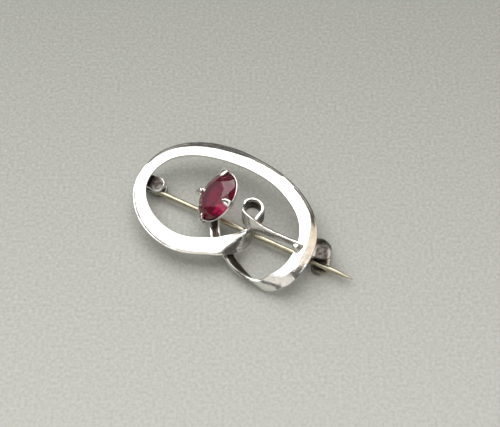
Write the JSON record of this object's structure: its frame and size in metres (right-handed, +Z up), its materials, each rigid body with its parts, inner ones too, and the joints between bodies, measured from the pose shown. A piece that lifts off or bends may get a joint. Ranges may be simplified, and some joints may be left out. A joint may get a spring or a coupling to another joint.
{
  "type": "garnet brooch",
  "caption": "Openwork oval ribbon brooch with a small standing loop, an oval faceted red stone in a clawed collet, and a hinged pin with its hook.",
  "frame": {"origin": "bottom centre of the closed brooch, on the surface it lies on", "axes": "+X from the hinge towards the pin's tip, +Y towards the far long side of the ring, +Z up towards the stone's table"},
  "size_m": [0.0382, 0.0203, 0.0082],
  "materials": {
    "silver": "polished silver, darkened in the hollows",
    "garnet": "cut and polished red stone",
    "pin_wire": "drawn nickel silver wire, slightly yellow"
  },
  "bodies": {
    "brooch": {"frame": "silver", "stone": "garnet", "hinge_rivet": "silver"},
    "pin": {"pin": "pin_wire"}
  },
  "joints": [
    {"name": "pin_swing", "type": "hinge", "parent": "brooch", "child": "pin", "pos_m": [-0.01609, 0.0002, 0.00139], "axis": [0.0051, 0.2419, -0.9703], "range_deg": [0, 95]}
  ]
}
